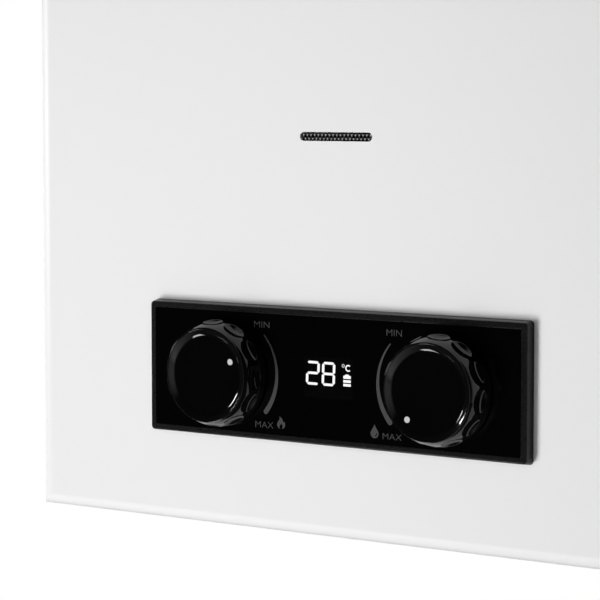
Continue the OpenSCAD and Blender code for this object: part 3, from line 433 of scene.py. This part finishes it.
knobLook = {
    "baseR": 21.2,
    "rimR": 18.7,
    "height": 11.4,
    "skirt": 1.6,
    "foot": 0.2,
    "footLap": 3.0,
    "domeSteps": 60,
    # the ring round the face: radius, and depth below the knob's front
    "ring": [
        (16.1, 1.1),
        (16.9, 0.56),
        (17.5, 0.24),
        (17.94, 0.03),
        (18.0, 0.0),
        (18.06, 0.0),
        (18.35, 0.01),
        (18.5, 0.03),
        (18.6, 0.07),
        (18.66, 0.14),
        (18.7, 0.25),
    ],
    # the face is flat inside faceR, and a hollow lifts its edge to the ring
    "faceDrop": 1.4,
    "faceRings": [0.001, 6.0, 12.0],
    "faceR": 14.7,
    "faceLip": 0.05,
    "capR": 16.15,
    "capLift": 0.31,
    "capSteps": 12,
    "faceTurnSteps": 180,
    "scallops": 12,
    "scallopDepth": 1.3,
    "scallopLong": 14.0,
    "scallopShort": 6.0,
    "scallopLift": 0.5,
    "scallopNear": 5.0,
    "turnSteps": 528,
    "dotR": 1.2,
    "dotRings": [0.001, 0.5, 1.0],
    "dotTurnSteps": 48,
    "dotLift": 0.03,
}

knobs = {
    "gas": {
        "node": "gas_knob",
        "cap": "gas_knob_cap",
        "turn": 28.5,
        "phase": 1.5,
        "dotAt": 12.5,
        "dotTurn": -1.6,
    },
    "water": {
        "node": "water_knob",
        "cap": "water_knob_cap",
        "turn": 231.0,
        "phase": 2.4,
        "dotAt": 13.95,
        "dotTurn": -0.7,
    },
}


def turns(steps):
    return np.linspace(0, 2 * math.pi, steps, endpoint=False)


def revolve(profile, steps):
    a = turns(steps)
    r, h = profile[:, :1], profile[:, 1:]
    return np.stack([r * np.cos(a), r * np.sin(a), h * np.ones_like(a)], -1)


def domeProfile():
    k = knobLook
    points = [(r, k["height"] - depth) for r, depth in k["ring"]]
    top = points[-1][1]
    domeH = top - k["skirt"]
    domeIn = k["baseR"] - k["rimR"]
    domeR = (domeH ** 2 + domeIn ** 2) / (2 * domeIn)
    for i in range(1, k["domeSteps"] + 1):
        h = top - domeH * i / k["domeSteps"]
        r = k["baseR"] - domeR + math.sqrt(domeR ** 2 - (h - k["skirt"]) ** 2)
        points.append((r, h))
    points.append((k["baseR"], k["skirt"] * 0.5))
    points.append((k["baseR"], k["foot"]))
    points.append((k["baseR"] - k["foot"], 0.0))
    points.append((k["baseR"] - k["footLap"], 0.0))
    return np.array(points), domeR, domeH


def cutScallops(p, phase, domeR, domeH):
    # each scallop is the outside of a ring, sunk into the dome and square to it
    k = knobLook
    forward = np.array([0.0, 0.0, 1.0])
    tilt = math.asin(k["scallopLift"] * domeH / domeR)
    major = k["scallopLong"] - k["scallopShort"]
    for i in range(k["scallops"]):
        a = math.radians(phase + i * 360 / k["scallops"])
        out = np.array([math.cos(a), math.sin(a), 0.0])
        normal = out * math.cos(tilt) + forward * math.sin(tilt)
        slope = forward * math.cos(tilt) - out * math.sin(tilt)
        centreR = k["baseR"] - domeR + domeR * math.cos(tilt)
        centreH = k["skirt"] + domeR * math.sin(tilt)
        q = p - (out * centreR + forward * centreH)
        n = q @ normal
        t = q @ np.cross(slope, normal)
        s = q @ slope
        inner = np.clip(k["scallopShort"] ** 2 - s ** 2, 0, None)
        reach = (major + np.sqrt(inner)) ** 2 - t ** 2
        floor = k["scallopLong"] - k["scallopDepth"] - np.sqrt(np.clip(reach, 0, None))
        cut = (inner > 0) & (reach > 0) & (n > floor) & (np.abs(n) < k["scallopNear"])
        p = np.where(cut[..., None], p - (n - floor)[..., None] * normal, p)
    return p


def faceHeight(r):
    k = knobLook
    run = k["capR"] - k["faceR"]
    hollowR = (run ** 2 + k["capLift"] ** 2) / (2 * k["capLift"])
    out = max(0.0, r - k["faceR"])
    return k["height"] - k["faceDrop"] + hollowR - math.sqrt(hollowR ** 2 - out ** 2)


def buildKnob(name, spec):
    k = knobLook
    body = spec["node"]  # the body is named after its node
    low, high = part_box(spec["node"])
    seat = high.y
    axisX, axisZ = (low.x + high.x) / 2, (low.z + high.z) / 2
    turn = math.radians(spec["turn"])
    c, s = math.cos(turn), math.sin(turn)

    def place(points):
        x = points[..., 0] * c - points[..., 1] * s
        z = points[..., 0] * s + points[..., 1] * c
        placed = [axisX + x * mm, seat - points[..., 2] * mm, axisZ + z * mm]
        return np.stack(placed, -1).reshape(-1, 3)

    profile, domeR, domeH = domeProfile()
    steps = k["turnSteps"]
    p = cutScallops(revolve(profile, steps), spec["phase"], domeR, domeH)
    faces = ringFaces(len(profile), steps)
    shell = piece(name + "KnobShell", place(p), faces, looks["knob_plastic"], body, True)
    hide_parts(spec["node"])

    radii = k["faceRings"] + [k["faceR"] - k["faceLip"]]
    radii += along(k["faceR"], k["capR"], k["capSteps"])
    steps = k["faceTurnSteps"]
    q = revolve(np.array([(r, faceHeight(r)) for r in radii]), steps)
    faces = ringFaces(len(radii), steps)
    cap = piece(name + "KnobFace", place(q), faces, looks["knob_gloss"], body, True)
    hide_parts(spec["cap"])

    dotTurn = math.radians(spec["dotTurn"])
    dotX = spec["dotAt"] * math.cos(dotTurn)
    dotY = spec["dotAt"] * math.sin(dotTurn)
    dot = []
    for share in k["dotRings"]:
        for a in turns(k["dotTurnSteps"]):
            x = dotX + k["dotR"] * share * math.cos(a)
            y = dotY + k["dotR"] * share * math.sin(a)
            dot.append((x, y, faceHeight(math.hypot(x, y)) + k["dotLift"]))
    faces = ringFaces(len(k["dotRings"]), k["dotTurnSteps"])
    piece(name + "KnobDot", place(np.array(dot)), faces, dotInk, body)


buildBezel()
for name, spec in knobs.items():
    buildKnob(name, spec)
print("bezel and knobs built")


# Panel print, in millimetres from the panel's middle

printLook = {
    "lift": 0.03,
    "thinner": -0.012,
    "letterSteps": 6,
    # left, right, bottom and top of each word
    "words": [
        ("gasMin", "MIN", -35.3, -28.0, 17.9, 20.3),
        ("gasMax", "MAX", -34.75, -26.2, -21.25, -18.85),
        ("waterMin", "MIN", 25.85, 32.6, 17.95, 20.35),
        ("waterMax", "MAX", 24.25, 32.65, -21.3, -19.05),
    ],
    # middle, radius, start and end turns, thin and thick ends
    "arcs": [
        ("gasArc", -47.26, -0.34, 22.7, 43.0, -39.5, 0.5, 2.1),
        ("waterArc", 44.67, -0.05, 22.7, 138.5, 220.5, 0.5, 2.1),
    ],
    "arcSteps": 72,
    "arcEndSteps": 12,
}

signLook = {
    "dropX": 20.6,
    "dropZ": -19.5,
    "dropWide": 1.8,
    "dropTall": 1.85,
    "dropTip": 1.65,
    "dropPinch": 0.85,
    "dropSteps": 40,
    # the dark crescent in the drop: middle and radius of each side, start and end turns
    "shineOuter": (20.6, -19.5, 1.2),
    "shineInner": (20.5, -19.45, 0.9),
    "shineTurns": (-80, 5),
    "shineSteps": 12,
    # left, right, bottom and top of the flame, and outlines as shares of that box
    "flameBox": (-24.5, -20.6, -21.1, -16.2),
    "flame": [
        (0.5, 0.0), (0.26, 0.03), (0.08, 0.14), (0.0, 0.3), (0.05, 0.47), (0.18, 0.61),
        (0.3, 0.73), (0.33, 0.86), (0.3, 1.0), (0.5, 0.91), (0.66, 0.79), (0.74, 0.63),
        (0.76, 0.52), (0.83, 0.55), (0.88, 0.63), (0.97, 0.5), (1.0, 0.34), (0.95, 0.16),
        (0.79, 0.04),
    ],
    "heart": [
        (0.5, 0.0), (0.36, 0.05), (0.3, 0.15), (0.36, 0.27), (0.48, 0.36), (0.53, 0.45),
        (0.62, 0.34), (0.69, 0.23), (0.69, 0.12), (0.62, 0.03),
    ],
}


def buildWord(name, words, x0, x1, z0, z1):
    curve = bpy.data.curves.new(name + "Letters", "FONT")
    curve.body = words
    curve.resolution_u = printLook["letterSteps"]
    curve.offset = printLook["thinner"]
    maker = bpy.data.objects.new(name + "Letters", curve)
    bpy.context.scene.collection.objects.link(maker)
    bpy.context.view_layer.update()
    letters = bpy.data.meshes.new_from_object(maker)
    co = np.array([v.co for v in letters.vertices])[:, :2]
    faces = [list(f.vertices) for f in letters.polygons]
    bpy.data.objects.remove(maker)
    bpy.data.curves.remove(curve)
    low, high = co.min(0), co.max(0)
    lift = printLook["lift"]
    shares = (co - low) / (high - low)
    verts = [onPanel(x0 + u * (x1 - x0), z0 + v * (z1 - z0), lift) for u, v in shares]
    piece(name, verts, faces, printInk, "housing")


def buildArc(name, x, z, r, start, end, thin, thick):
    steps = printLook["arcSteps"]
    inner = []
    outer = []
    for i in range(steps + 1):
        f = i / steps
        a = math.radians(start + (end - start) * f)
        half = (thin + (thick - thin) * f) / 2
        inner.append((x + (r - half) * math.cos(a), z + (r - half) * math.sin(a)))
        outer.append((x + (r + half) * math.cos(a), z + (r + half) * math.sin(a)))
    # the thick end is round
    a = math.radians(end)
    way = math.copysign(1, end - start)
    rounded = []
    for i in range(1, printLook["arcEndSteps"]):
        b = math.pi * i / printLook["arcEndSteps"]
        onward = thick / 2 * math.sin(b) * way
        across = r + thick / 2 * math.cos(b)
        endX = x + across * math.cos(a) - onward * math.sin(a)
        endZ = z + across * math.sin(a) + onward * math.cos(a)
        rounded.append((endX, endZ))
    verts = [onPanel(px, pz, printLook["lift"]) for px, pz in inner + outer + rounded]
    n = steps + 1
    faces = [(i, i + 1, n + i + 1, n + i) for i in range(steps)]
    faces.append([2 * n - 1] + list(range(2 * n, 2 * n + len(rounded))) + [n - 1])
    piece(name, verts, faces, printInk, "housing")


def arcPoints(circle, start, end, steps):
    x, z, r = circle
    bends = [math.radians(degrees) for degrees in along(start, end, steps)]
    return [(x + r * math.cos(a), z + r * math.sin(a)) for a in bends]


def buildSigns():
    g = signLook
    lift = printLook["lift"]
    dark = looks["fascia_gloss"]
    drop = []
    for i in range(g["dropSteps"]):
        a = 2 * math.pi * i / g["dropSteps"]
        pull = max(0.0, math.sin(a)) ** 3
        x = g["dropX"] + g["dropWide"] * math.cos(a) * (1 - g["dropPinch"] * pull)
        z = g["dropZ"] + g["dropTall"] * math.sin(a) + g["dropTip"] * pull
        drop.append((x, z))
    flatPiece("dropSign", [drop], printInk, lift)
    start, end = g["shineTurns"]
    shine = arcPoints(g["shineOuter"], start, end, g["shineSteps"])
    shine += arcPoints(g["shineInner"], end, start, g["shineSteps"])
    flatPiece("dropShine", [shine], dark, lift * 2)
    x0, x1, z0, z1 = g["flameBox"]
    flame = [(x0 + u * (x1 - x0), z0 + v * (z1 - z0)) for u, v in g["flame"]]
    heart = [(x0 + u * (x1 - x0), z0 + v * (z1 - z0)) for u, v in g["heart"]]
    flatPiece("flameSign", [flame], printInk, lift)
    flatPiece("flameHeart", [heart], dark, lift * 2)


for word in printLook["words"]:
    buildWord(*word)
for arc in printLook["arcs"]:
    buildArc(*arc)
buildSigns()


# Display, in millimetres from the panel's middle

displayLook = {
    "window": (-11.7, 10.9, -7.7, 8.0),
    "windowLift": 0.015,
    "lift": 0.03,
    "digits": [("2", -10.75, -4.5), ("8", -3.45, 2.65)],
    "litBars": {"2": "abged", "8": "abcdefg"},
    "digitLow": -2.85,
    "digitHigh": 6.35,
    "upright": 1.1,
    "level": 0.95,
    "gap": 0.1,
    "lean": 2.0,
    "cellLeft": 6.4,
    "cellRight": 9.8,
    "cellTall": 1.0,
    "cellBars": [-2.5, -1.05],
    "cellTop": [
        (6.4, 0.45), (9.8, 0.45), (9.8, 1.4), (9.55, 1.65), (8.95, 1.65), (8.9, 2.05),
        (7.3, 2.05), (7.25, 1.65), (6.65, 1.65), (6.4, 1.4),
    ],
    # middle, half width and height, inner and outer shares, start and sweep
    "degree": (6.4, 5.3, 1.0, 1.0, 0.3, 0.72, 0, 360),
    "celsius": (8.65, 4.5, 1.35, 1.3, 0.62, 1.0, 48, 264),
    "ringSteps": 24,
}


def segment(x0, z0, x1, z1, w):
    # bar with a point at each end, along x or along z
    h = w / 2
    if abs(x1 - x0) > abs(z1 - z0):
        upper = [(x0, z0), (x0 + h, z0 + h), (x1 - h, z0 + h)]
        return upper + [(x1, z0), (x1 - h, z0 - h), (x0 + h, z0 - h)]
    right = [(x0, z0), (x0 + h, z0 + h), (x0 + h, z1 - h)]
    return right + [(x0, z1), (x0 - h, z1 - h), (x0 - h, z0 + h)]


def ringShapes(x, z, rx, rz, inner, outer, start, sweep):
    steps = displayLook["ringSteps"]
    shapes = []
    for i in range(steps):
        a0 = math.radians(start + sweep * i / steps)
        a1 = math.radians(start + sweep * (i + 1) / steps)
        corners = ((a0, inner), (a1, inner), (a1, outer), (a0, outer))
        shapes.append([(x + q * rx * math.cos(a), z + q * rz * math.sin(a)) for a, q in corners])
    return shapes


def buildDisplay():
    d = displayLook
    x0, x1, z0, z1 = d["window"]
    window = [(x0, z0), (x1, z0), (x1, z1), (x0, z1)]
    flatPiece("displayWindow", [window], windowTint, d["windowLift"])
    gap, upright, level = d["gap"], d["upright"], d["level"]
    low, high = d["digitLow"] + level / 2, d["digitHigh"] - level / 2
    mid = (low + high) / 2
    lean = math.tan(math.radians(d["lean"]))
    shapes = []
    for digit, digitLeft, digitRight in d["digits"]:
        left, right = digitLeft + upright / 2, digitRight - upright / 2
        bars = {
            "a": segment(left + gap, high, right - gap, high, level),
            "b": segment(right, mid + gap, right, high - gap, upright),
            "c": segment(right, low + gap, right, mid - gap, upright),
            "d": segment(left + gap, low, right - gap, low, level),
            "e": segment(left, low + gap, left, mid - gap, upright),
            "f": segment(left, mid + gap, left, high - gap, upright),
            "g": segment(left + gap, mid, right - gap, mid, level),
        }
        for bar in d["litBars"][digit]:
            shapes.append([(x + lean * (z - mid), z) for x, z in bars[bar]])
    flatPiece("displayDigits", shapes, ledLight, d["lift"])
    x0, x1 = d["cellLeft"], d["cellRight"]
    cell = []
    for z in d["cellBars"]:
        cell.append([(x0, z), (x1, z), (x1, z + d["cellTall"]), (x0, z + d["cellTall"])])
    cell.append(d["cellTop"])
    flatPiece("batterySign", cell, ledLight, d["lift"])
    flatPiece("degreeSign", ringShapes(*d["degree"]), ledDim, d["lift"])
    flatPiece("celsiusSign", ringShapes(*d["celsius"]), ledLight, d["lift"])


buildDisplay()
print("panel print and display built")


# Ridges of the pipe threads, on the connections' plain cylinders

threadLook = {
    # piece and radius of the cylinder, for each connection
    "threads": {
        "gas_inlet": ("gasThread", 8.33),
        "cold_inlet": ("coldThread", 10.48),
        "hot_outlet": ("hotThread", 10.48),
    },
    "pitch": 1.8,
    "from": 0.5,
    "to": 18.5,
    "valley": 0.01,
    "ridge": 0.5,
    # shares of the pitch between which the ridge is flat
    "flatFrom": 0.4,
    "flatTo": 0.55,
    "turnSteps": 64,
}


def buildThread(node, name, pipeR):
    t = threadLook
    low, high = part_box(node)
    x, y = (low.x + high.x) / 2, (low.y + high.y) / 2
    valley, ridge = pipeR + t["valley"], pipeR + t["ridge"]
    pitch = t["pitch"]
    z = low.z / mm + t["from"]
    top = low.z / mm + t["to"]
    rows = []
    while z < top - pitch:
        rows.append((valley, z))
        rows.append((ridge, z + pitch * t["flatFrom"]))
        rows.append((ridge, z + pitch * t["flatTo"]))
        z += pitch
    rows.append((valley, z))
    verts = []
    for r, h in rows:
        for j in range(t["turnSteps"]):
            a = 2 * math.pi * j / t["turnSteps"]
            verts.append((x + r * mm * math.cos(a), y + r * mm * math.sin(a), h * mm))
    faces = ringFaces(len(rows), t["turnSteps"])
    piece(name, verts, faces, looks["brass"], "housing")


for node, (name, pipeR) in threadLook["threads"].items():
    buildThread(node, name, pipeR)
print("threads built")


# Stage: white background, soft light, camera

roomLook = {
    "ambient": 0.09,
    "background": 1.0,
    # in gloss the room in front of the heater is dim, and the backdrop behind is white
    "dimRoom": 0.01,
    "dimFrom": 0.08,
    "dimTo": 0.2,
    # pale ceiling over the left of the room
    "ceiling": 0.6,
    "ceilingFrom": 0.82,
    "ceilingTo": 0.9,
    "ceilingLeft": 0.05,
    "ceilingRight": 0.25,
    # pale patch of the room, to the right in front of the heater
    "patchWay": (0.473, -0.87, -0.122),
    "patchGlow": 0.5,
    "patchFrom": 0.8,
}

floorLook = {
    "height": -1.95,
    "size": 10.0,
    "white": 0.85,
    "colour": (0.5, 0.5, 0.5),
    # the floor fades into the backdrop
    "fadeFrom": 1.5,
    "fadeTo": 4.5,
    # in gloss it has a pool of light in front of the heater, and is dim round it
    "poolPlace": (1.2, -2.9, 0.0),
    "poolRadius": 2.9,
    "poolGlow": 1.0,
    "poolDim": 0.03,
}

# soft lamps for the light on surfaces, small ones for the streaks in gloss,
# and two behind the cover's front for the sides, top and back
lamps = {
    "main": {
        "place": (-1.352, -2.203, -1.225), "size": (0.77, 1.4), "power": 62.0,
        "matt": True, "gloss": False,
    },
    "fill": {
        "place": (-0.01, -0.42, -0.23), "size": (0.2, 0.2), "power": 0.145,
        "matt": True, "gloss": False,
    },
    "backRight": {
        "place": (1.3, 0.7, 1.2), "size": (1.0, 1.0), "power": 26.0,
        "matt": True, "gloss": True,
    },
    "backLeft": {
        "place": (-1.3, 0.7, 1.2), "size": (1.0, 1.0), "power": 14.0,
        "matt": True, "gloss": True,
    },
    "spark": {
        "place": (-0.69, -1.07, -1.06), "size": (0.23, 0.4), "power": 3.5,
        "matt": False, "gloss": True,
    },
    "side": {
        "place": (-0.84, -0.42, -0.2), "size": (0.2, 0.14), "power": 2.4,
        "matt": False, "gloss": True,
    },
}

# camera solved from the photograph, with the heater's sizes fixed
view = {
    "yaw": 34.547,
    "pitch": 4.755,
    "place": (0.51493, -0.88981, -0.19015),
    "focalPixels": 2433.6,
    "imagePixels": 600,
    "sensor": 36.0,
    "near": 0.01,
    "far": 50.0,
}


def buildWorld():
    w = roomLook
    world = bpy.data.worlds.new("studio")
    bpy.context.scene.world = world
    world.use_nodes = True
    tree = world.node_tree
    tree.nodes.clear()
    path = tree.nodes.new("ShaderNodeLightPath")
    coord = tree.nodes.new("ShaderNodeTexCoord")
    split = tree.nodes.new("ShaderNodeSeparateXYZ")
    way = coord.outputs["Generated"]
    tree.links.new(way, split.inputs["Vector"])
    room = mapRange(
        tree, split.outputs["Y"], w["dimFrom"], w["dimTo"], w["dimRoom"], w["background"])
    ceiling = mapRange(
        tree, split.outputs["Z"], w["ceilingFrom"], w["ceilingTo"], toMax=w["ceiling"])
    onLeft = mapRange(tree, split.outputs["X"], w["ceilingRight"], w["ceilingLeft"])
    above = calculate(tree, "MULTIPLY", ceiling, onLeft)
    toPatch = measure(tree, "DOT_PRODUCT", way, w["patchWay"])
    patch = mapRange(tree, toPatch, w["patchFrom"], toMax=w["patchGlow"])
    mirrored = calculate(tree, "MAXIMUM", calculate(tree, "MAXIMUM", room, above), patch)
    inGloss = calculate(
        tree, "MAXIMUM", path.outputs["Is Glossy Ray"], path.outputs["Is Transmission Ray"])
    unseen = mix(tree, inGloss, w["ambient"], mirrored)
    strength = mix(tree, path.outputs["Is Camera Ray"], unseen, w["background"])
    backdrop = tree.nodes.new("ShaderNodeBackground")
    backdrop.inputs["Color"].default_value = (1, 1, 1, 1)
    tree.links.new(strength, backdrop.inputs["Strength"])
    out = tree.nodes.new("ShaderNodeOutputWorld")
    tree.links.new(backdrop.outputs["Background"], out.inputs["Surface"])


def buildFloor():
    f = floorLook
    half = f["size"] / 2
    mesh = bpy.data.meshes.new("paleFloor")
    corners = [(-half, -half, 0), (half, -half, 0), (half, half, 0), (-half, half, 0)]
    mesh.from_pydata(corners, [], [(0, 1, 2, 3)])
    made, tree, shader = newMaterial("paleFloor")
    tree.nodes.remove(shader)
    path = tree.nodes.new("ShaderNodeLightPath")
    coord = tree.nodes.new("ShaderNodeTexCoord")
    place = coord.outputs["Object"]
    # pale to the camera and through glass, the pool in gloss, and ambient to the rest
    seen = calculate(
        tree, "MAXIMUM", path.outputs["Is Camera Ray"], path.outputs["Is Transmission Ray"])
    outward = measure(tree, "LENGTH", place)
    fade = mapRange(
        tree, outward, f["fadeFrom"], f["fadeTo"], f["white"], roomLook["background"])
    plain = mapRange(tree, seen, toMin=roomLook["ambient"], toMax=fade)
    away = measure(tree, "DISTANCE", place, f["poolPlace"])
    pool = mapRange(tree, away, 0.0, f["poolRadius"], f["poolGlow"], f["poolDim"])
    glow = tree.nodes.new("ShaderNodeEmission")
    strength = mix(tree, path.outputs["Is Glossy Ray"], plain, pool)
    tree.links.new(strength, glow.inputs["Strength"])
    # a matt part takes the shadows, and isn't there in gloss
    matt = tree.nodes.new("ShaderNodeBsdfDiffuse")
    matt.inputs["Color"].default_value = (*f["colour"], 1)
    both = tree.nodes.new("ShaderNodeAddShader")
    tree.links.new(glow.outputs["Emission"], both.inputs[0])
    tree.links.new(matt.outputs["BSDF"], both.inputs[1])
    shown = mixShaders(
        tree, path.outputs["Is Glossy Ray"], both.outputs["Shader"], glow.outputs["Emission"])
    # the underside doesn't hide the heater in views from below
    clear = tree.nodes.new("ShaderNodeBsdfTransparent")
    side = tree.nodes.new("ShaderNodeNewGeometry")
    look = mixShaders(tree, side.outputs["Backfacing"], shown, clear.outputs["BSDF"])
    tree.links.new(look, tree.nodes["Material Output"].inputs["Surface"])
    mesh.materials.append(made)
    floor = bpy.data.objects.new("paleFloor", mesh)
    bpy.context.scene.collection.objects.link(floor)
    floor.location = (0, 0, f["height"])


def buildLamp(name, spec):
    lamp = bpy.data.lights.new(name, "AREA")
    lamp.energy = spec["power"]
    lamp.shape = "RECTANGLE"
    lamp.size, lamp.size_y = spec["size"]
    made = bpy.data.objects.new(name, lamp)
    bpy.context.scene.collection.objects.link(made)
    made.location = spec["place"]
    ahead = Vector((0.0, coverFront, panelZ)) - Vector(spec["place"])
    made.rotation_euler = ahead.to_track_quat("-Z", "Y").to_euler()
    made.visible_diffuse = spec["matt"]
    made.visible_glossy = spec["gloss"]
    made.visible_camera = False


def buildCamera():
    yaw, pitch = math.radians(view["yaw"]), math.radians(view["pitch"])
    level = math.cos(pitch)
    ahead = Vector((-math.sin(yaw) * level, math.cos(yaw) * level, -math.sin(pitch)))
    right = Vector((math.cos(yaw), math.sin(yaw), 0))
    up = right.cross(ahead)
    lens = bpy.data.cameras.new("photoCamera")
    lens.sensor_width = view["sensor"]
    lens.lens = view["sensor"] * view["focalPixels"] / view["imagePixels"]
    lens.clip_start = view["near"]
    lens.clip_end = view["far"]
    camera = bpy.data.objects.new("photoCamera", lens)
    bpy.context.scene.collection.objects.link(camera)
    turn = Matrix((right, up, -ahead)).transposed().to_4x4()
    camera.matrix_world = Matrix.Translation(view["place"]) @ turn
    bpy.context.scene.camera = camera


buildWorld()
buildFloor()
for name, spec in lamps.items():
    buildLamp(name + "Light", spec)
buildCamera()
bpy.context.scene.view_settings.view_transform = "Standard"
print("stage built")
